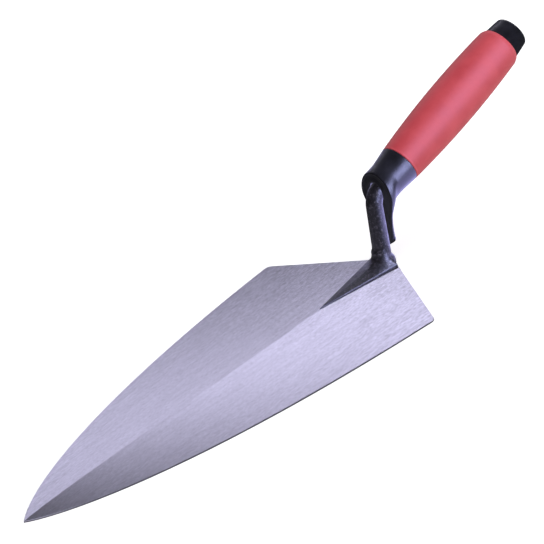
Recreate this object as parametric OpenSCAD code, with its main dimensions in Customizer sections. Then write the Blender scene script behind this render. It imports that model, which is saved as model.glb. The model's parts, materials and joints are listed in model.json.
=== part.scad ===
// Brick trowel of the wide, square-heeled pattern, with a soft-grip handle.
// Origin: on the flat underside of the blade, straight below the shank.
// +X runs from the heel to the tip of the blade, +Z up, and the part is symmetric about Y = 0.

/* [Blade] */
// Length of the blade from the heel apex to the tip
blade_length = 292; // [270:1:330]
// Width of the blade across its two heel corners
blade_width = 146; // [130:1:160]
// How far the heel corners lie ahead of the heel apex
heel_setback = 37; // [30:1:45]
// Thickness of the blade at its edges
edge_thickness = 1; // [0.8:0.1:1.4]
// Thickness of the blade along its central ridge
ridge_thickness = 2.8; // [2.4:0.1:3.6]
// Rounding of the heel corners
corner_radius = 4; // [2:0.5:6]

/* [Shank] */
// Distance from the heel apex to the shank
shank_inset = 8; // [7:0.5:10]
// Radius of the shank just above its foot
shank_foot_radius = 5.5; // [5:0.1:6]
// Radius of the shank at its bend and at the start of the tang
shank_radius = 5; // [4.4:0.1:5.4]
// Lean of the shank back from upright, in degrees
shank_lean = 7.6; // [6:0.1:11]
// Height at which the lines of the shank and the tang cross
bend_height = 46.7; // [44:0.1:50]
// Radius of the bend along its centre line
bend_radius = 11; // [9:0.5:12]
// Length of the tang inside the handle, beyond the bend
tang_length = 84; // [60:1:95]
// Length of the foot in front of the shank
foot_length = 53; // [45:1:60]
// Half the width of the foot where it meets the heel edges
foot_half_width = 11; // [10:0.5:14]
// Height of the wall round the foot above the ridge of the blade
foot_wall = 1.8; // [1.2:0.1:2.4]

/* [Handle] */
// Rise of the handle from the blade, in degrees
handle_rise = 16.7; // [14:0.1:20]
// Distance from the bend to the front ring of the soft grip
collar_length = 26; // [24:0.1:28]
// Length of the soft grip
grip_length = 99; // [95:0.5:110]
// Radius of the soft grip at its front ring
grip_front_radius = 12.6; // [11.6:0.1:13]
// Largest radius of the soft grip
grip_belly_radius = 14.9; // [14:0.1:16]
// Distance from the front ring to the largest radius
grip_belly_at = 54; // [48:1:60]
// Radius of the soft grip at its rear face
grip_rear_radius = 12.2; // [11.8:0.1:12.6]
// Length of the chamfer at the rear of the soft grip
grip_chamfer = 3; // [2:0.5:8]
// Radius of the hard core inside the soft grip
core_radius = 8.6; // [8:0.1:9]
// Length of the butt cap that shows behind the soft grip
butt_length = 12.1; // [8:0.1:14]
// Radius of the butt cap beside the soft grip
butt_radius = 11.7; // [10.8:0.1:12]

/* [Finger guard] */
// Lean of the guard's flat face back from upright, in degrees
guard_lean = 4.1; // [3:0.1:6]
// Distance from the origin back to the guard's face, at blade level
guard_face_back = 5.7; // [5.3:0.1:6.2]
// Height of the guard's tongue end above the blade's underside
guard_end_height = 13; // [12:0.5:16]
// Half the width of the guard's tongue at its end
guard_end_half_width = 5.2; // [4.8:0.1:6]
// Thickness of the guard's tongue
guard_thickness = 5; // [4.5:0.1:6]
// Radius of the fillet between the tongue and the underside of the collar
guard_fillet = 14; // [10:0.5:16]

/* [Hidden] */
$fn = 64;

heel_x = -shank_inset;
tip_x = heel_x + blade_length;
corner_x = heel_x + heel_setback;
half_width = blade_width / 2;
ridge_rise = ridge_thickness - edge_thickness;

// The long edge is one cubic curve from the heel corner to the tip.
edge_run = tip_x - corner_x;
edge_curve = [
    [corner_x, half_width],
    [corner_x + 0.71 * edge_run, half_width - 0.226 * half_width],
    [tip_x - 0.049 * edge_run, 0.192 * half_width],
    [tip_x, 0]
];
edge_steps = 32;
corner_steps = 6;

bend_angle = 90 - shank_lean - handle_rise;
bend_tangent = bend_radius * tan(bend_angle / 2);
shank_length = bend_height / cos(shank_lean) - bend_tangent;
bend_overrun = 3;
bend_step = 0.15;
tang_end_radius = 3.4;
shank_start = 5;
foot_root = 1;
foot_top = 14;
foot_inset = 0.5;
// The hollow top of the foot ends this far inside the shank.
foot_sink = 0.5;
foot_hollow = 2.6;
foot_slices = 7;
foot_edge_steps = 7;

// The core stops short of the butt cap's floor, and the cap plugs onto its spigot.
spigot_radius = 6.2;
spigot_length = 6;
collar_front_radius = 11.2;
collar_taper = 12;
collar_overrun = 12;
butt_end_radius = 10.6;
butt_rim = 2.2;
guard_waist_height = bend_height - 2.5;

function bezier(p, t) =
    pow(1 - t, 3) * p[0] + 3 * t * pow(1 - t, 2) * p[1] + 3 * t * t * (1 - t) * p[2] + pow(t, 3) * p[3];
function mirrored(points) = [for (i = [len(points) - 1:-1:0]) [points[i].x, -points[i].y]];
function unit(v) = v / norm(v);

// Points of the round that replaces corner b between a and c.
function rounded(a, b, c, radius, steps) =
    let (
        to_a = unit(a - b),
        to_c = unit(c - b),
        half = acos(to_a * to_c) / 2,
        centre = b + unit(to_a + to_c) * radius / sin(half),
        start = b + to_a * radius / tan(half) - centre,
        sweep = 180 - 2 * half,
        turn = sign(cross(to_a, to_c))
    )
    [for (i = [0:steps]) let (w = -turn * sweep * i / steps)
        centre + [start.x * cos(w) - start.y * sin(w), start.x * sin(w) + start.y * cos(w)]];

// One side of the blade, from the heel apex round the corner to the tip.
function blade_side() =
    let (
        second = bezier(edge_curve, 2 / edge_steps),
        corner = rounded([heel_x, 0], edge_curve[0], second, corner_radius, corner_steps)
    )
    concat(
        [[heel_x, 0]],
        corner,
        [for (i = [2:edge_steps]) bezier(edge_curve, i / edge_steps)]
    );

// The roof's facets steepen towards the tip: the ridge keeps its height while the blade narrows.
function edge_point(i) = bezier(edge_curve, i / edge_steps);
function ridge_height(half) = edge_thickness + ridge_rise * (1 - pow(1 - min(half / half_width, 1), 5));

module blade_plan(height) {
    side = blade_side();
    linear_extrude(height)
        polygon(concat(side, [for (p = mirrored(side)) if (p.x > heel_x && p.x < tip_x) p]));
}

module blade_roof() {
    margin = 1.5;
    base = -1;
    stations = concat(
        [[heel_x - 5, half_width, ridge_thickness]],
        [for (i = [0:2:edge_steps - 4]) [edge_point(i).x, edge_point(i).y, ridge_height(edge_point(i).y)]],
        [[tip_x + 2, edge_point(edge_steps - 4).y * 0.3, edge_thickness]]
    );
    rows = [for (s = stations)
        let (
            out = s.y * margin,
            z_out = s.z - (s.z - edge_thickness) * margin
        )
        [[s.x, -out, base], [s.x, out, base], [s.x, out, z_out], [s.x, 0, s.z], [s.x, -out, z_out]]];
    n = len(rows);
    polyhedron(
        points = [for (r = rows) each r],
        faces = concat(
            [[0, 1, 2, 3, 4]],
            [[for (k = [4:-1:0]) (n - 1) * 5 + k]],
            [for (j = [0:n - 2], k = [0:4])
                let (a = j * 5 + k, b = j * 5 + (k + 1) % 5)
                each [[a, a + 5, b], [b, a + 5, b + 5]]]
        )
    );
}

module blade_solid() {
    intersection() {
        blade_plan(ridge_thickness + 2);
        blade_roof();
    }
}

// Frames: the shank's own axis, and the handle's axis with its origin at the front ring.
module on_shank() {
    rotate([0, -shank_lean, 0]) children();
}

module on_handle(along = collar_length) {
    translate([-bend_height * tan(shank_lean), 0, bend_height])
        rotate([0, handle_rise - 90, 0])
            translate([0, 0, along])
                children();
}

// The foot is a kite whose rear edges run just inside the heel edges of the blade.
function foot_corner_x() = heel_x + heel_setback * foot_half_width / half_width + foot_inset;
function foot_plan() = [
    [foot_length, 0],
    [foot_corner_x(), foot_half_width],
    [heel_x + foot_inset, 0],
    [foot_corner_x(), -foot_half_width]
];
function foot_outline() = [
    for (i = [0:3], k = [0:foot_edge_steps - 1])
        let (plan = foot_plan())
        plan[i] + (plan[(i + 1) % 4] - plan[i]) * k / foot_edge_steps
];

// The wall round the foot is full height beside the shank and thins towards the foot's point.
function wall_top(p) = ridge_thickness + foot_wall * (1 - 0.8 * max(p.x, 0) / foot_length);

// A point of the concave fillet: it leaves the outline p and closes in on the shank.
function fillet_point(p, rise) =
    let (
        spread = pow(1 - rise, foot_hollow),
        z = wall_top(p) * (1 - rise) + foot_top * rise,
        reach = norm(p) * spread + (shank_foot_radius - foot_sink) * (1 - spread)
    )
    [unit(p).x * reach - z * tan(shank_lean) * (1 - spread), unit(p).y * reach, z];

module foot() {
    outline = foot_outline();
    n = len(outline);
    rings = concat(
        [[for (p = outline) [p.x, p.y, foot_root]]],
        [for (i = [0:foot_slices]) [for (p = outline) fillet_point(p, i / foot_slices)]]
    );
    last = len(rings) - 1;
    polyhedron(
        points = [for (r = rings) each r],
        faces = concat(
            [[for (k = [0:n - 1]) k]],
            [[for (k = [n - 1:-1:0]) last * n + k]],
            [for (j = [0:last - 1], k = [0:n - 1])
                let (a = j * n + k, b = j * n + (k + 1) % n)
                each [[a, a + n, b], [b, a + n, b + n]]]
        )
    );
}

// The bend runs a little into the upright and the tang, which differ from it slightly in radius.
module shank_bar() {
    on_shank()
        translate([0, 0, shank_start])
            cylinder(h = shank_length - shank_start, r1 = shank_foot_radius, r2 = shank_radius + bend_step);
    on_shank()
        translate([-bend_radius, 0, shank_length])
            rotate([90, bend_overrun, 0])
                rotate_extrude(angle = bend_angle + 2 * bend_overrun)
                    translate([bend_radius, 0])
                        circle(shank_radius);
    on_handle(bend_tangent)
        cylinder(h = tang_length, r1 = shank_radius - bend_step, r2 = tang_end_radius);
}

module shank() {
    color([0.16, 0.15, 0.18])
        difference() {
            union() {
                foot();
                shank_bar();
            }
            blade_solid();
        }
}

module blade() {
    color([0.76, 0.75, 0.80]) blade_solid();
}

// Everything behind the guard's flat face.
module behind_guard_face() {
    translate([-guard_face_back, 0, 0])
        rotate([0, -guard_lean, 0])
            translate([-200, -100, -50])
                cube([200, 200, 200]);
}

// Where the line through p along d meets the line through q along e.
function meeting(p, d, q, e) = p + d * cross(q - p, e) / cross(d, e);

// Side view of the tongue, in X and Z, with a fillet between its back and the collar's underside.
module guard_side() {
    up = [-sin(guard_lean), cos(guard_lean)];
    back = [-cos(handle_rise), sin(handle_rise)];
    down = [-sin(handle_rise), -cos(handle_rise)];
    bend = [-bend_height * tan(shank_lean), bend_height];
    heel = [-guard_face_back - guard_end_height * tan(guard_lean) - guard_thickness, guard_end_height];
    under = bend + down * (collar_front_radius - 0.3);
    corner = meeting(heel, up, under, back);
    far = corner + back * 1.2 * guard_fillet;
    linear_extrude(4 * collar_front_radius, center = true)
        polygon(concat(
            [heel + [2 * guard_thickness, 0], heel],
            rounded(heel, corner, far, guard_fillet, 12),
            [far, far - down * collar_front_radius, bend + [2 * guard_thickness, 0]]
        ));
}

// Front view of the tongue, in Y and Z: a round-ended taper below the collar.
module guard_front() {
    end_z = guard_end_height + guard_end_half_width;
    linear_extrude(80, center = true)
        union() {
            polygon([
                [guard_end_half_width, end_z],
                [collar_front_radius, guard_waist_height],
                [-collar_front_radius, guard_waist_height],
                [-guard_end_half_width, end_z]
            ]);
            translate([0, end_z]) circle(guard_end_half_width);
        }
}

module guard_tongue() {
    intersection() {
        rotate([90, 0, 0]) guard_side();
        rotate([90, 0, 90]) guard_front();
    }
}

module collar() {
    front = -collar_length - collar_overrun;
    on_handle()
        rotate_extrude()
            polygon([
                [0, front],
                [collar_front_radius, front],
                [collar_front_radius, -collar_taper],
                [grip_front_radius, -1],
                [grip_front_radius, 0],
                [core_radius, 0],
                [core_radius, grip_length],
                [spigot_radius, grip_length],
                [spigot_radius, grip_length + spigot_length],
                [0, grip_length + spigot_length]
            ]);
}

module handle_core() {
    color([0.10, 0.10, 0.12])
        difference() {
            intersection() {
                union() {
                    collar();
                    guard_tongue();
                }
                behind_guard_face();
            }
            shank_bar();
        }
}

// Radius of the grip at a distance from its front ring: one long swell.
function grip_radius(t) =
    grip_belly_radius - (grip_belly_radius - grip_front_radius) * pow((t - grip_belly_at) / grip_belly_at, 2);

module soft_grip() {
    steps = 24;
    swell = grip_length - grip_chamfer;
    color([0.80, 0.25, 0.28])
        on_handle()
            rotate_extrude()
                polygon(concat(
                    [[core_radius, 0]],
                    [for (i = [0:steps]) [grip_radius(swell * i / steps), swell * i / steps]],
                    [[grip_rear_radius, grip_length], [core_radius, grip_length]]
                ));
}

module butt_cap() {
    rim = [for (a = [0:15:90]) [butt_end_radius - butt_rim + butt_rim * cos(a),
                                butt_length - butt_rim + butt_rim * sin(a)]];
    color([0.10, 0.10, 0.12])
        on_handle(collar_length + grip_length)
            rotate_extrude()
                polygon(concat(
                    [[spigot_radius, 0], [butt_radius, 0]],
                    rim,
                    [[0, butt_length], [0, spigot_length], [spigot_radius, spigot_length]]
                ));
}

blade();
shank();
handle_core();
soft_grip();
butt_cap();
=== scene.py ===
import json
import math

import bmesh
import bpy
import numpy as np
from mathutils import Matrix, Vector

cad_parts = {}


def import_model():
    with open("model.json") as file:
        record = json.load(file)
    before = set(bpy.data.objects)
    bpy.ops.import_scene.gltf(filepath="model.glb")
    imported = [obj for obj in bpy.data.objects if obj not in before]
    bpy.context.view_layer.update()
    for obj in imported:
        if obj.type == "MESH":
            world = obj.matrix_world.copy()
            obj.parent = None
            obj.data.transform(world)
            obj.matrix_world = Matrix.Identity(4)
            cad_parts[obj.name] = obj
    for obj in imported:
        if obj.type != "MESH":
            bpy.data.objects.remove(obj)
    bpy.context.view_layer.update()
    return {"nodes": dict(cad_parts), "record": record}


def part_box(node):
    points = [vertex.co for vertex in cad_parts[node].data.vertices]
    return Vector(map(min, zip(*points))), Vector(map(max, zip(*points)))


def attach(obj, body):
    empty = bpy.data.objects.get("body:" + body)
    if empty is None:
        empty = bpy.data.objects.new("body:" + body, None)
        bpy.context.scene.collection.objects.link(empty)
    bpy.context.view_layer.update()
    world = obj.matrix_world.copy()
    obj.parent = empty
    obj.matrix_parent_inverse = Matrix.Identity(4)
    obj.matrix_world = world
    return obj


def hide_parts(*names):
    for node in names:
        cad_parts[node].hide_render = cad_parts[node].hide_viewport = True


# The looks of a brick trowel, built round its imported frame. The shapes are worked out in
# millimetres, in the frame's own axes, and make_mesh turns them into metres.

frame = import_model()

MM = 0.001
RECORD = frame["record"]


def box_mm(node):
    low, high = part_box(node)
    return np.array(low) / MM, np.array(high) / MM


def mount(name):
    """Place in mm and outward direction of one of the record's mounts."""
    entry = next(m for m in RECORD["mounts"] if m["name"] == name)
    return np.array(entry["pos_m"]) / MM, np.array(entry["axis"])


def node_points(node):
    mesh = frame["nodes"][node].data
    return np.array([v.co for v in mesh.vertices]) / MM


# ---------------------------------------------------------------- sizes, read from the frame

BLADE_LOW, BLADE_HIGH = box_mm("blade")
HEEL_X = BLADE_LOW[0]
TIP_X = BLADE_HIGH[0]
RIDGE = BLADE_HIGH[2]
BUTT_POINT, BUTT_OUT = mount("butt_end")
HANDLE_AXIS = BUTT_OUT / np.linalg.norm(BUTT_OUT)

# Sizes that the frame's boxes don't say.
HALF_WIDTH = 73.0
HEEL_SETBACK = 37.0
EDGE = 1.0
CORNER_RADIUS = 4.0
FOOT_LENGTH = 53.0
FOOT_HALF_WIDTH = 11.0
FOOT_WALL = 2.2
FOOT_TOP = 13.5
FOOT_TOP_RADIUS = 5.0
SHANK_LEAN = math.radians(7.6)
SHANK_FOOT_RADIUS = 5.5
SHANK_RADIUS = 5.0
BEND_RADIUS = 11.0
TANG_END_RADIUS = 3.4
TANG_LENGTH = 84.0
GUARD_LEAN = math.radians(4.1)
GUARD_FACE_BACK = 5.7
GUARD_END_HEIGHT = 13.0
GUARD_END_HALF_WIDTH = 5.2
GUARD_WAIST_HALF_WIDTH = 11.2
GUARD_THICKNESS = 5.0
RING_RADIUS = 12.6
COLLAR_RADIUS = 11.2
CORE_RADIUS = 8.6

# The size of a cell in the meshed surfaces.
GRID = 0.4


def along_handle(points):
    """Distance of points along the handle from the butt's face, towards the blade."""
    return (BUTT_POINT - points) @ HANDLE_AXIS


# ---------------------------------------------------------------- meshes

def make_mesh(name, points, faces, sharp_degrees=None):
    """A smooth-shaded object from points in mm, with edges sharper than the angle left crisp."""
    mesh = bpy.data.meshes.new(name)
    mesh.from_pydata((np.asarray(points) * MM).tolist(), [], [tuple(int(i) for i in f) for f in faces])
    mesh.validate()
    mesh.shade_smooth()
    if sharp_degrees:
        mesh.set_sharp_from_angle(angle=math.radians(sharp_degrees))
    mesh.update()
    piece = bpy.data.objects.new(name, mesh)
    bpy.context.scene.collection.objects.link(piece)
    return piece


def axis_matrix(origin, direction):
    """Columns of a right-handed frame whose third axis is the direction."""
    z = direction / np.linalg.norm(direction)
    x = np.cross([0.0, 1.0, 0.0], z)
    x /= np.linalg.norm(x)
    return origin, np.column_stack([x, np.cross(z, x), z])


def lathe(name, profile, origin, direction, segments=144, sharp_degrees=35):
    """Turns a profile of (distance along, radius) round an axis, and closes its ends."""
    origin, basis = axis_matrix(origin, direction)
    angles = np.linspace(0, 2 * np.pi, segments, endpoint=False)
    rings = [
        np.column_stack([r * np.cos(angles), r * np.sin(angles), np.full(segments, t)])
        for t, r in profile
    ]
    points = np.vstack(rings + [[[0, 0, profile[0][0]]], [[0, 0, profile[-1][0]]]])
    faces = []
    for ring in range(len(profile) - 1):
        for k in range(segments):
            a, b = ring * segments + k, ring * segments + (k + 1) % segments
            faces.append((a, b, b + segments, a + segments))
    first, last = len(points) - 2, len(points) - 1
    end = (len(profile) - 1) * segments
    for k in range(segments):
        faces.append((first, (k + 1) % segments, k))
        faces.append((last, end + k, end + (k + 1) % segments))
    return make_mesh(name, points @ basis.T + origin, faces, sharp_degrees)


def arc(centre, radius, start, stop, steps=6):
    """Profile points of a round, in degrees from the axis of the turning."""
    return [
        (centre[0] + radius * math.cos(math.radians(a)), centre[1] + radius * math.sin(math.radians(a)))
        for a in np.linspace(start, stop, steps)
    ]


# ---------------------------------------------------------------- signed distances and their skin

def smooth_union(a, b, blend):
    h = np.clip(0.5 + 0.5 * (b - a) / blend, 0, 1)
    return b * (1 - h) + a * h - blend * h * (1 - h)


def smooth_intersection(a, b, blend):
    return -smooth_union(-a, -b, blend)


def tapered_bar(p, start, stop, radius_start, radius_stop):
    """Distance to a bar with round ends whose radius changes along it."""
    run = stop - start
    t = np.clip((p - start) @ run / (run @ run), 0, 1)
    radius = radius_start + t * (radius_stop - radius_start)
    return np.linalg.norm(p - start - t[:, None] * run, axis=1) - radius


def bent_bar(p, centre, out, up, radius_bend, angle, radius):
    """Distance to a round bar bent about centre, from the direction out towards up."""
    side = np.cross(out, up)
    rel = p - centre
    u, v = rel @ out, rel @ up
    a = np.clip(np.arctan2(v, u), 0, angle)
    near = np.hypot(u - radius_bend * np.cos(a), v - radius_bend * np.sin(a))
    return np.hypot(near, rel @ side) - radius


def crossings(field, axis):
    """Which grid edges along an axis cross the surface, and how far along each it is crossed."""
    ahead = [slice(None)] * 3
    behind = [slice(None)] * 3
    ahead[axis] = slice(1, None)
    behind[axis] = slice(None, -1)
    f0, f1 = field[tuple(behind)], field[tuple(ahead)]
    cross = (f0 < 0) != (f1 < 0)
    return cross, np.where(cross, f0 / np.where(cross, f0 - f1, 1), 0)


def cell_points(field):
    """One point for each cell that the surface passes through, in cells, and the points' numbers."""
    cells = tuple(n - 1 for n in field.shape)
    total = np.zeros(cells + (3,))
    count = np.zeros(cells)
    for axis in range(3):
        cross, share = crossings(field, axis)
        first, second = [a for a in range(3) if a != axis]
        for step_first, step_second in ((0, 0), (0, 1), (1, 0), (1, 1)):
            take = [None] * 3
            take[axis] = slice(0, cells[axis])
            take[first] = slice(step_first, step_first + cells[first])
            take[second] = slice(step_second, step_second + cells[second])
            hit = cross[tuple(take)]
            place = np.zeros(cells + (3,))
            place[..., axis] = share[tuple(take)]
            place[..., first] = step_first
            place[..., second] = step_second
            total += np.where(hit[..., None], place, 0)
            count += hit
    used = count > 0
    number = np.full(cells, -1)
    number[used] = np.arange(used.sum())
    corner = np.stack(np.meshgrid(*[np.arange(n) for n in cells], indexing="ij"), -1)
    return corner[used] + total[used] / count[used][:, None], number


def cell_faces(field, number):
    """A face round each crossed grid edge, through the points of the four cells that share it."""
    faces = []
    for axis in range(3):
        first, second = [a for a in range(3) if a != axis]
        where = np.argwhere(crossings(field, axis)[0])
        where = where[(where[:, first] > 0) & (where[:, first] < field.shape[first] - 1)]
        where = where[(where[:, second] > 0) & (where[:, second] < field.shape[second] - 1)]
        corners = []
        for back_first, back_second in ((1, 1), (0, 1), (0, 0), (1, 0)):
            at = where.copy()
            at[:, first] -= back_first
            at[:, second] -= back_second
            corners.append(number[tuple(at.T)])
        quads = np.stack(corners, 1)
        outward = (field[tuple(where.T)] < 0) != (axis == 1)
        quads[~outward] = quads[~outward][:, ::-1]
        faces.append(quads)
    return np.vstack(faces)


def skin(name, distance, low, high, step, sharp_degrees=None):
    """Meshes the surface where distance is zero: one point a cell, then moved onto the surface."""
    axes = [np.arange(l, h + step, step) for l, h in zip(low, high)]
    grid = np.stack(np.meshgrid(*axes, indexing="ij"), -1).reshape(-1, 3)
    field = distance(grid).reshape([len(a) for a in axes])
    points, number = cell_points(field)
    points = points * step + np.array([a[0] for a in axes])
    for _ in range(3):
        points = points - onto_surface(distance, points, step)
    return make_mesh(name, points, cell_faces(field, number), sharp_degrees)


def onto_surface(distance, points, step):
    """The move, at most half a cell, that takes each point to where the distance is zero."""
    small = 0.02
    value = distance(points)
    slope = np.stack([
        (distance(points + small * np.eye(3)[k]) - distance(points - small * np.eye(3)[k])) / (2 * small)
        for k in range(3)
    ], 1)
    move = slope * (value / np.maximum((slope ** 2).sum(1), 0.1))[:, None]
    length = np.linalg.norm(move, axis=1, keepdims=True)
    return move * np.minimum(1, 0.5 * step / np.maximum(length, 1e-9))


# ---------------------------------------------------------------- the blade

def bezier(points, t):
    t = np.asarray(t)[:, None]
    return (
        (1 - t) ** 3 * points[0] + 3 * t * (1 - t) ** 2 * points[1]
        + 3 * t ** 2 * (1 - t) * points[2] + t ** 3 * points[3]
    )


def long_edge():
    """The long edge's cubic curve, from the square heel corner to the tip."""
    corner_x = HEEL_X + HEEL_SETBACK
    run = TIP_X - corner_x
    return np.array([
        [corner_x, HALF_WIDTH],
        [corner_x + 0.71 * run, 0.774 * HALF_WIDTH],
        [TIP_X - 0.049 * run, 0.192 * HALF_WIDTH],
        [TIP_X, 0],
    ])


def rounded_corner(a, b, c, radius, steps):
    """The round of that radius which replaces corner b between a and c."""
    to_a = (a - b) / np.linalg.norm(a - b)
    to_c = (c - b) / np.linalg.norm(c - b)
    half = math.acos(to_a @ to_c) / 2
    middle = (to_a + to_c) / np.linalg.norm(to_a + to_c)
    centre = b + middle * radius / math.sin(half)
    start = b + to_a * radius / math.tan(half) - centre
    turn = -math.copysign(math.pi - 2 * half, to_a[0] * to_c[1] - to_a[1] * to_c[0])
    return [
        centre + np.array([start[0] * math.cos(w) - start[1] * math.sin(w),
                           start[0] * math.sin(w) + start[1] * math.cos(w)])
        for w in np.linspace(0, turn, steps)
    ]


def blade_outline():
    """One side of the blade, from the heel apex round the corner to the tip."""
    heel = np.array([HEEL_X, 0.0])
    curve = bezier(long_edge(), np.linspace(0, 1, 90))
    heel_edge = [heel + (curve[0] - heel) * t for t in np.linspace(0, 0.93, 30)]
    corner = rounded_corner(heel, curve[0], curve[3], CORNER_RADIUS, 12)
    return np.array(heel_edge + corner + list(curve[3:]))


def roof_height(x, y):
    """Height of the ground upper face: the ridge keeps its height while the blade narrows."""
    curve = bezier(long_edge(), np.linspace(0, 1, 200))
    half = np.interp(x, curve[:, 0], curve[:, 1])
    rise = (RIDGE - EDGE) * (1 - (1 - np.minimum(half / HALF_WIDTH, 1)) ** 5)
    return EDGE + rise * (1 - np.abs(y) / np.maximum(half, 0.01))


def blade_section(x, half):
    """The blade's section across at x: the roof, the bevelled edges and the flat underside."""
    bevel, lowest_edge = 0.22, 0.5
    half = min(half, BLADE_HIGH[1])
    ys = np.linspace(0, 1, 12) * max(half - bevel, 0)
    top = [(x, y, roof_height(x, y)) for y in ys]
    edge_top = max(roof_height(x, half) - bevel, lowest_edge)
    side = [(x, half, edge_top), (x, half, bevel)]
    under = [(x, y, 0.0) for y in ys[::-1]]
    right = top + side + under
    left = [(px, -py, pz) for px, py, pz in right[::-1]][1:-1]
    return right + left


def blade_piece():
    """The ground blade. Its sides, which stand upright, take the second material, whose dark colour is
    painted shade.
    """
    rows = [blade_section(x, half) for x, half in blade_outline()]
    loop = len(rows[0])
    points = np.array(rows).reshape(-1, 3)
    faces = [
        (r * loop + k, r * loop + (k + 1) % loop, (r + 1) * loop + (k + 1) % loop, (r + 1) * loop + k)
        for r in range(len(rows) - 1) for k in range(loop)
    ]
    piece = make_mesh("ground_blade", points, faces, sharp_degrees=14)
    weld(piece)
    for face in piece.data.polygons:
        if abs(face.normal.z) < 0.2:
            face.material_index = 1
    crease_ridge(piece.data)
    return piece


def crease_ridge(mesh):
    """Keeps the two facets of the roof apart in the shading."""
    for edge in mesh.edges:
        ends = [mesh.vertices[i].co for i in edge.vertices]
        if all(abs(end.y) < 1e-6 and end.z > EDGE * MM for end in ends):
            edge.use_edge_sharp = True


def weld(piece):
    """Merges the points that meet at the heel apex and the tip, and turns the faces outward."""
    work = bmesh.new()
    work.from_mesh(piece.data)
    bmesh.ops.remove_doubles(work, verts=work.verts, dist=0.01 * MM)
    bmesh.ops.recalc_face_normals(work, faces=work.faces)
    work.to_mesh(piece.data)
    work.free()


# ---------------------------------------------------------------- the shank

UP_SHANK = np.array([-math.sin(SHANK_LEAN), 0, math.cos(SHANK_LEAN)])
FORWARD_SHANK = np.array([math.cos(SHANK_LEAN), 0, math.sin(SHANK_LEAN)])


def bend_point():
    """Where the line of the shank meets the line of the handle."""
    a, b = UP_SHANK[[0, 2]], -HANDLE_AXIS[[0, 2]]
    s, _ = np.linalg.solve(np.column_stack([a, -b]), BUTT_POINT[[0, 2]])
    return UP_SHANK * s


BEND = bend_point()
BEND_ANGLE = math.acos(UP_SHANK @ HANDLE_AXIS)
BEND_TANGENT = BEND_RADIUS * math.tan(BEND_ANGLE / 2)
SHANK_TOP = BEND - UP_SHANK * BEND_TANGENT
TANG_START = BEND + HANDLE_AXIS * BEND_TANGENT


def shank_bar(p):
    """Distance to the upright, the bend and the tang."""
    foot_end = UP_SHANK * 4
    upright = tapered_bar(p, foot_end, SHANK_TOP, SHANK_FOOT_RADIUS, SHANK_RADIUS)
    bend_centre = SHANK_TOP - FORWARD_SHANK * BEND_RADIUS
    bend = bent_bar(p, bend_centre, FORWARD_SHANK, UP_SHANK, BEND_RADIUS, BEND_ANGLE, SHANK_RADIUS)
    tang_end = TANG_START + HANDLE_AXIS * TANG_LENGTH
    tang = tapered_bar(p, TANG_START, tang_end, SHANK_RADIUS, TANG_END_RADIUS)
    return np.minimum(np.minimum(upright, bend), tang)


def foot_plan(p):
    """Distance to the foot's kite outline, in plan."""
    inset = 0.5
    corner = np.array([HEEL_X + HEEL_SETBACK * FOOT_HALF_WIDTH / HALF_WIDTH + inset, FOOT_HALF_WIDTH])
    y = np.abs(p[:, 1])
    front = corner - np.array([FOOT_LENGTH, 0])
    front_out = np.array([front[1], -front[0]]) / np.linalg.norm(front)
    rear = corner - np.array([HEEL_X + inset, 0])
    rear_out = np.array([-rear[1], rear[0]]) / np.linalg.norm(rear)
    d_front = (p[:, 0] - FOOT_LENGTH) * front_out[0] + y * front_out[1]
    d_rear = (p[:, 0] - HEEL_X - inset) * rear_out[0] + y * rear_out[1]
    return smooth_intersection(d_front, d_rear, 0.6)


def foot(p):
    """Distance to the foot: a walled kite whose top sweeps up in a hollow curve to the shank."""
    thinning, hollow, draft, top_slope, rounding = 0.6, 0.34, math.radians(3), 0.7, 0.3
    x, y, z = p.T
    plan = foot_plan(p)
    wall_top = RIDGE + FOOT_WALL * (1 - thinning * np.clip(x, 0, FOOT_LENGTH) / FOOT_LENGTH)
    inwards = np.clip(-plan, 0.001, None)
    outwards = np.clip(np.hypot(x, y) - FOOT_TOP_RADIUS, 0.01, None)
    rise = 1 - (outwards / (outwards + inwards)) ** hollow
    top = wall_top + (FOOT_TOP - wall_top) * rise
    side = plan + math.tan(draft) * (z - RIDGE)
    return smooth_intersection(side, (z - top) * top_slope, rounding)


def heel_boss(p):
    """Distance to the low round swelling that the shank stands on."""
    centre, radius, top, rounding = np.array([-1.0, 0.0]), 7.0, 7.4, 2.0
    wide = np.linalg.norm(p[:, :2] - centre, axis=1) - (radius - rounding)
    tall = p[:, 2] - (top - rounding)
    outside = np.hypot(np.maximum(wide, 0), np.maximum(tall, 0))
    return outside + np.minimum(np.maximum(wide, tall), 0) - rounding


def shank_surface(p):
    """Distance to the whole forging, which stops a hair under the blade's upper face."""
    sink, boss_fillet, shank_fillet = 0.05, 1.0, 2.5
    above_blade = roof_height(p[:, 0], p[:, 1]) - sink - p[:, 2]
    base = smooth_union(foot(p), heel_boss(p), boss_fillet)
    whole = smooth_union(base, shank_bar(p), shank_fillet)
    return np.maximum(whole, above_blade)


def shank_piece():
    low, high = box_mm("shank")
    return skin("forged_shank", shank_surface, low - 1.2, high + 1.2, GRID, sharp_degrees=40)


# ---------------------------------------------------------------- the handle

GUARD_UP = np.array([-math.sin(GUARD_LEAN), 0, math.cos(GUARD_LEAN)])
GUARD_BACK = np.array([-math.cos(GUARD_LEAN), 0, -math.sin(GUARD_LEAN)])
RING = BUTT_POINT - HANDLE_AXIS * along_handle(node_points("soft_grip")).max()
CORE_END = along_handle(node_points("handle_core")).min()


def collar(p):
    """Distance to the collar, whose flare to the ring is in its last 13 mm."""
    flare, reach, rounding = 13, 40, 0.4
    rel = p - RING
    t = -rel @ HANDLE_AXIS
    radial = np.linalg.norm(rel - (rel @ HANDLE_AXIS)[:, None] * HANDLE_AXIS, axis=1)
    radius = COLLAR_RADIUS + (RING_RADIUS - COLLAR_RADIUS) * np.clip(1 - t / flare, 0, 1) ** 1.2
    return smooth_intersection(radial - radius, np.maximum(-t, t - reach), rounding)


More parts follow.
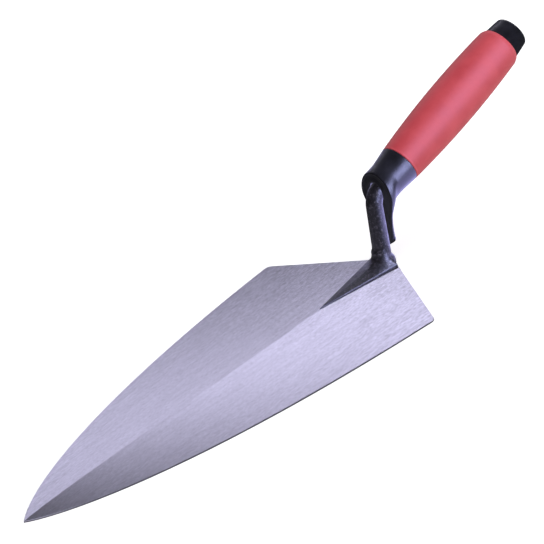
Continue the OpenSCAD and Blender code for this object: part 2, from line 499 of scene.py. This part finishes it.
def core_tube(p):
    """Distance to the tube under the sleeve, which is a touch thinner than its CAD node."""
    slack, overlap = 0.1, 3
    rel = p - RING
    t = rel @ HANDLE_AXIS
    radial = np.linalg.norm(rel - t[:, None] * HANDLE_AXIS, axis=1)
    length = (RING - BUTT_POINT) @ -HANDLE_AXIS - CORE_END
    return np.maximum(radial - (CORE_RADIUS - slack), np.maximum(-t - overlap, t - length))


def guard_coordinates(p):
    """Depth behind the guard's face, and height up along it."""
    rel = p - np.array([-GUARD_FACE_BACK, 0, 0])
    return rel @ GUARD_BACK, rel @ GUARD_UP


def tongue(p):
    """Distance to the tongue: a slab with a round end that widens from there up into the collar."""
    hollow, toe, toe_top, toe_height, rounding = 2.5, 2.7, 30, 16, 2.2
    depth, up = guard_coordinates(p)
    low, high = GUARD_END_HEIGHT + GUARD_END_HALF_WIDTH, BEND[2] - 2.5
    t = np.clip((up - low) / (high - low), 0, 1)
    half = GUARD_END_HALF_WIDTH + (GUARD_WAIST_HALF_WIDTH - GUARD_END_HALF_WIDTH) * t ** 0.85
    front_view = np.hypot(p[:, 1], up - np.clip(up, low, high)) - half
    thickening = toe * np.clip((toe_top - up) / toe_height, 0, 1) ** 2
    return smooth_intersection(front_view, depth - (GUARD_THICKNESS - hollow + thickening), rounding)


def guard_surface(p):
    """Distance to the collar and guard in one: a rimmed face, a bead round the shank, its hole."""
    rim, recess_depth, gap = 1.2, 0.35, 0.25
    bead_out, bead_depth, bead_radius = 1.6, 0.9, 1.2
    depth, _ = guard_coordinates(p)
    bar = shank_bar(p)
    body = smooth_union(collar(p), tongue(p), 7.0)
    front = smooth_intersection(body, -depth, 0.9)
    recess = smooth_intersection(body + rim, depth - recess_depth, 0.3)
    rimmed = smooth_intersection(front, -recess, 0.4)
    bead = np.hypot(bar - bead_out, depth - bead_depth) - bead_radius
    beaded = smooth_union(rimmed, np.maximum(bead, body + 1.6), 0.6)
    opened = smooth_intersection(beaded, gap - bar, 0.5)
    return np.minimum(opened, np.maximum(core_tube(p), 0.1 - bar))


def guard_piece():
    low, high = box_mm("handle_core")
    return skin("collar_and_guard", guard_surface, low - 1.2, high + 1.2, GRID, sharp_degrees=40)


def grip_piece():
    """The soft sleeve: one long swell with a rolled front lip and a short shoulder at the rear."""
    distances = along_handle(node_points("soft_grip"))
    length = distances.max() - distances.min()
    belly, belly_at, shoulder, rear, lip = 14.9, 54.0, 3.0, 12.2, 0.6
    swell = length - shoulder
    stations = np.linspace(lip, swell - 0.8, 70)
    body = [(t, belly - (belly - RING_RADIUS) * ((t - belly_at) / belly_at) ** 2) for t in stations]
    turn = [
        body[-1],
        (swell + 0.2, body[-1][1] - 0.1),
        (length - 0.5, rear + 0.3),
        (length, rear - 0.3),
        (length, rear - 1.2),
    ]
    roll = arc((lip, RING_RADIUS - lip + 0.08), lip, 180, 95, 6)
    profile = [(0, CORE_RADIUS)] + roll + body + smooth_path(turn)[1:] + [(length, CORE_RADIUS)]
    return lathe("red_grip", profile, RING, HANDLE_AXIS)


def smooth_path(points):
    """Rounds the corners of a path by cutting them three times over."""
    points = np.array(points)
    for _ in range(3):
        cut = np.empty((2 * len(points) - 2, 2))
        cut[0::2] = 0.75 * points[:-1] + 0.25 * points[1:]
        cut[1::2] = 0.25 * points[:-1] + 0.75 * points[1:]
        points = np.vstack([points[:1], cut, points[-1:]])
    return [tuple(q) for q in points]


def butt_piece():
    """The hard butt: a slight taper, a rounded rim and a shallow dish in its end face."""
    distances = along_handle(node_points("butt_cap"))
    length = distances.max() - distances.min()
    front, end, rim, break_edge = 11.69, 10.6, 2.2, 0.4
    start = BUTT_POINT - HANDLE_AXIS * length
    edge = arc((break_edge, front - break_edge), break_edge, 180, 96, 5)
    straight = length - rim
    stations = np.linspace(0.6, straight, 8)
    wall = [(t, front - (front - end) * (t / straight) ** 1.2) for t in stations]
    corner = arc((straight, end - rim), rim, 88, 4, 12)
    dish_steps = [(0, 7.4), (0.06, 6.8), (0.3, 5.9), (0.4, 4.0), (0.42, 1.5)]
    dish = [(length - depth, radius) for depth, radius in dish_steps]
    return lathe("butt", [(0.0, 6.2)] + edge + wall + corner + dish, start, HANDLE_AXIS)


# ---------------------------------------------------------------- materials

class Nodes:
    """A small helper that adds and links shader nodes."""

    def __init__(self, name):
        self.material = bpy.data.materials.new(name)
        self.material.use_nodes = True
        self.tree = self.material.node_tree
        self.shader = self.tree.nodes["Principled BSDF"]
        self.place = self.add("ShaderNodeTexCoord").outputs["Object"]

    def add(self, kind, **settings):
        node = self.tree.nodes.new(kind)
        for key, value in settings.items():
            if key in node.inputs:
                node.inputs[key].default_value = value
            else:
                setattr(node, key, value)
        return node

    def link(self, source, target):
        self.tree.links.new(source, target)

    def stretched(self, scale, turn=0.0):
        """The object's own coordinates, scaled apart along each axis."""
        mapping = self.add("ShaderNodeMapping")
        mapping.inputs["Scale"].default_value = scale
        mapping.inputs["Rotation"].default_value = (0, 0, turn)
        self.link(self.place, mapping.inputs["Vector"])
        return mapping.outputs["Vector"]

    def noise(self, vector, scale, detail=4.0, roughness=0.55):
        node = self.add("ShaderNodeTexNoise")
        node.inputs["Scale"].default_value = scale
        node.inputs["Detail"].default_value = detail
        node.inputs["Roughness"].default_value = roughness
        self.link(vector, node.inputs["Vector"])
        return node.outputs["Fac"]

    def ramp(self, value, stops):
        node = self.add("ShaderNodeValToRGB")
        elements = node.color_ramp.elements
        while len(elements) < len(stops):
            elements.new(0.5)
        for element, (position, colour) in zip(elements, stops):
            element.position = position
            element.color = (*colour, 1) if len(colour) == 3 else colour
        self.link(value, node.inputs["Fac"])
        return node.outputs["Color"]

    def range(self, value, low, high, from_low=0.25, from_high=0.75):
        node = self.add("ShaderNodeMapRange")
        node.inputs["From Min"].default_value = from_low
        node.inputs["From Max"].default_value = from_high
        node.inputs["To Min"].default_value = low
        node.inputs["To Max"].default_value = high
        self.link(value, node.inputs["Value"])
        return node.outputs["Result"]

    def math(self, operation, a, b):
        node = self.add("ShaderNodeMath", operation=operation)
        for socket, value in zip(node.inputs, (a, b)):
            if isinstance(value, (int, float)):
                socket.default_value = value
            else:
                self.link(value, socket)
        return node.outputs["Value"]

    def bump(self, height, strength, distance_mm, after=None):
        node = self.add("ShaderNodeBump")
        node.inputs["Strength"].default_value = strength
        node.inputs["Distance"].default_value = distance_mm * MM
        self.link(height, node.inputs["Height"])
        if after:
            self.link(after, node.inputs["Normal"])
        return node.outputs["Normal"]

    def set(self, **values):
        for key, value in values.items():
            socket = self.shader.inputs[key.replace("_", " ")]
            if hasattr(value, "node"):
                self.link(value, socket)
            else:
                socket.default_value = value


def ground_steel():
    """Fine grinding lines along the blade, coarsest at the heel."""
    n = Nodes("ground_steel")
    fine = n.noise(n.stretched((1, 4, 1), 0.05), 420, 2, 0.5)
    coarse = n.noise(n.stretched((1, 7, 1), -0.04), 60, 3, 0.5)
    cloud = n.noise(n.place, 22, 3, 0.5)
    streaks = n.math("ADD", n.math("MULTIPLY", fine, 0.65), n.math("MULTIPLY", coarse, 0.35))
    along = n.add("ShaderNodeSeparateXYZ")
    n.link(n.place, along.inputs["Vector"])
    contrast = n.range(along.outputs["X"], 1.5, 0.65, 0.01, 0.10)
    grain = n.math("ADD", n.math("MULTIPLY", n.math("SUBTRACT", streaks, 0.5), contrast), 0.5)
    haze = n.math("ADD", n.math("MULTIPLY", grain, 0.5), n.math("MULTIPLY", cloud, 0.5))
    n.set(
        Base_Color=n.ramp(grain, [(0.32, (0.46, 0.445, 0.52)), (0.68, (0.80, 0.78, 0.89))]),
        Metallic=1.0,
        Roughness=n.range(haze, 0.2745, 0.288),
        Normal=n.bump(grain, 0.16, 0.02),
    )
    return n.material


def edge_painted_shade():
    """The blade's upright edges, given a dark colour: painted shade for the dark line along them."""
    n = Nodes("edge_painted_shade")
    lines = n.noise(n.stretched((1, 1, 6)), 500, 3, 0.6)
    n.set(
        Base_Color=n.ramp(lines, [(0.35, (0.10, 0.095, 0.12)), (0.7, (0.22, 0.21, 0.26))]),
        Metallic=1.0,
        Roughness=n.range(lines, 0.4, 0.6),
        Normal=n.bump(lines, 0.3, 0.05),
    )
    return n.material


def black_lacquer():
    """Thin black lacquer over a forged, pitted surface."""
    n = Nodes("black_lacquer")
    lumps = n.noise(n.place, 260, 3, 0.6)
    pits = n.noise(n.place, 750, 3, 0.7)
    worn = n.math("MULTIPLY", n.range(pits, 0.0, 1.0, 0.50, 0.66), n.range(lumps, 0.3, 1.0, 0.4, 0.6))
    n.set(
        Base_Color=n.ramp(worn, [(0.0, (0.006, 0.005, 0.009)), (1.0, (0.11, 0.10, 0.14))]),
        Roughness=n.range(lumps, 0.30, 0.48),
        Normal=n.bump(pits, 0.7, 0.16, n.bump(lumps, 0.7, 0.45)),
    )
    n.shader.inputs["Specular IOR Level"].default_value = 0.7
    return n.material


def hard_black():
    """Hard black plastic with a fine grain."""
    n = Nodes("hard_black")
    grain = n.noise(n.place, 3000, 3, 0.6)
    cloud = n.noise(n.place, 140, 4, 0.6)
    n.set(
        Base_Color=n.ramp(cloud, [(0.3, (0.004, 0.004, 0.007)), (0.7, (0.011, 0.011, 0.020))]),
        Roughness=n.range(cloud, 0.34, 0.46),
        Normal=n.bump(grain, 0.25, 0.05),
    )
    n.shader.inputs["Specular IOR Level"].default_value = 0.6
    return n.material


def red_rubber():
    """Soft red rubber, matt, with a fine grain."""
    n = Nodes("red_rubber")
    grain = n.noise(n.place, 2400, 3, 0.6)
    cloud = n.noise(n.place, 90, 4, 0.5)
    n.set(
        Base_Color=n.ramp(cloud, [(0.3, (0.50, 0.040, 0.055)), (0.7, (0.58, 0.060, 0.075))]),
        Roughness=n.range(cloud, 0.50, 0.60),
        Normal=n.bump(grain, 0.3, 0.06),
    )
    n.shader.inputs["Sheen Weight"].default_value = 0.12
    return n.material


def floor_material():
    """A pale matt floor that glows a little, so that shadows on it stay light."""
    n = Nodes("pale_floor")
    cloud = n.noise(n.place, 3)
    n.set(
        Base_Color=n.ramp(cloud, [(0.3, (0.86, 0.86, 0.86)), (0.7, (0.88, 0.88, 0.88))]),
        Roughness=0.9,
    )
    n.shader.inputs["Emission Color"].default_value = (1, 1, 1, 1)
    n.shader.inputs["Emission Strength"].default_value = 0.45
    return n.material


# ---------------------------------------------------------------- assembly

def dress(piece, node, material):
    """Puts a detailed piece in place of its CAD node. Only the blade shows in reflections."""
    piece.data.materials.append(material)
    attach(piece, "root")
    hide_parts(node)
    piece.visible_glossy = node == "blade"
    return piece


black = hard_black()
blade = dress(blade_piece(), "blade", ground_steel())
# The upright edges' material is painted shade: a dark colour for the dark line along the edge.
blade.data.materials.append(edge_painted_shade())
shank = dress(shank_piece(), "shank", black_lacquer())
guard = dress(guard_piece(), "handle_core", black)
grip = dress(grip_piece(), "soft_grip", red_rubber())
dress(butt_piece(), "butt_cap", black)


# ---------------------------------------------------------------- stage, camera and lights

def floor():
    size, level = 3000.0, -0.02
    corners = [(x * size, y * size, level) for x, y in ((-1, -1), (1, -1), (1, 1), (-1, 1))]
    piece = make_mesh("floor", np.array(corners), [(0, 1, 2, 3)])
    piece.data.materials.append(floor_material())
    piece.visible_glossy = False


def camera(target, azimuth, elevation, distance, roll, lens):
    """Azimuth 0 looks along +Y. Roll tips the camera about its own line of sight."""
    a, e = math.radians(azimuth), math.radians(elevation)
    back = Vector((math.sin(a) * math.cos(e), -math.cos(a) * math.cos(e), math.sin(e)))
    data = bpy.data.cameras.new("camera")
    data.lens = lens
    data.sensor_width = 36.0
    data.clip_end = 50
    eye = bpy.data.objects.new("camera", data)
    turn = back.to_track_quat("Z", "Y").to_matrix().to_4x4()
    tip = Matrix.Rotation(math.radians(roll), 4, "Z")
    eye.matrix_world = Matrix.Translation(Vector(target) * MM + back * distance * MM) @ turn @ tip
    bpy.context.scene.collection.objects.link(eye)
    bpy.context.scene.camera = eye


def softbox(name, place, aim, width, height, radiance, colour=(1, 1, 1), roll=0.0):
    """A rectangular lamp at place, facing aim. The roll tips it about its own axis, in degrees."""
    data = bpy.data.lights.new(name, "AREA")
    data.shape = "RECTANGLE"
    data.size = width * MM
    data.size_y = height * MM
    data.energy = radiance * math.pi * width * height * MM ** 2
    data.color = colour
    lamp = bpy.data.objects.new(name, data)
    back = (Vector(place) - Vector(aim)).normalized()
    side = Vector((0, 0, 1)).cross(back).normalized()
    turn = Matrix((side, back.cross(side), back)).transposed().to_4x4()
    tip = Matrix.Rotation(math.radians(roll), 4, "Z")
    lamp.matrix_world = Matrix.Translation(Vector(place) * MM) @ turn @ tip
    lamp.visible_camera = False
    bpy.context.scene.collection.objects.link(lamp)
    return lamp


def gloss_card(pieces, name, *settings):
    """A softbox that shows only as a reflection in the given pieces."""
    lamp = softbox(name, *settings)
    lamp.visible_diffuse = False
    receivers = bpy.data.collections.new(name)
    for piece in pieces:
        receivers.objects.link(piece)
    lamp.light_linking.receiver_collection = receivers


def broad_light(direction, irradiance, angle):
    """An even, very soft light from far off, like a wide diffuser. Gloss does not mirror it."""
    data = bpy.data.lights.new("diffuser", "SUN")
    data.energy = irradiance
    data.angle = math.radians(angle)
    lamp = bpy.data.objects.new("diffuser", data)
    lamp.rotation_mode = "QUATERNION"
    lamp.rotation_quaternion = Vector(direction).to_track_quat("Z", "Y")
    lamp.visible_glossy = False
    bpy.context.scene.collection.objects.link(lamp)


def world():
    """A faint, slightly cool light from everywhere."""
    scene_world = bpy.data.worlds.new("studio")
    scene_world.use_nodes = True
    background = scene_world.node_tree.nodes["Background"]
    background.inputs["Color"].default_value = (0.96, 0.95, 1.05, 1)
    background.inputs["Strength"].default_value = 0.085
    bpy.context.scene.world = scene_world


floor()
camera(target=(75.3, -2.4, 41.3), azimuth=145.55, elevation=27.97, distance=2512, roll=-16.85, lens=291.2)
world()
broad_light((-0.22, 0.52, 0.82), 2.95, 90)

# The strip gives the blade's two facets their tones in the camera's view. The cards show only as
# reflections, each in its own pieces: the ceiling and the walls are for the blade seen from
# other sides.
softbox("strip", (-337, -348, 342), (130, 0, 0), 1150, 44, 4.35, (0.98, 0.965, 1.18), 6.3)
gloss_card([guard, shank], "side", (-130, 420, 120), (-40, 0, 60), 240, 300, 12.0, (0.78, 0.82, 1.5))
gloss_card([guard, shank], "table", (-80, 90, -5), (-80, 91, 100), 100, 240, 2.4, (0.80, 0.76, 1.6))
gloss_card([guard, shank], "low", (-280, -560, 40), (0, 0, 5), 500, 110, 2.0, (0.88, 0.84, 1.45))
gloss_card([shank], "rear", (-334, 193, 460), (0, 5, 5), 420, 320, 14.0, (0.80, 0.84, 1.4))
gloss_card([grip], "key", (-200, 505, 330), (-70, 0, 75), 800, 640, 4.0, (0.80, 0.85, 1.4))
gloss_card([blade], "ceiling", (130, 0, 800), (130, 1, 0), 700, 700, 0.6, (0.95, 0.94, 1.1))
for turn in (-45, 20, 85, 150):
    away = Vector((math.cos(math.radians(turn)), math.sin(math.radians(turn)), 0.42)) * 750
    gloss_card([blade], "wall", away, (60, 0, 0), 850, 560, 0.8, (0.95, 0.94, 1.1))
bpy.context.scene.view_settings.view_transform = "Standard"
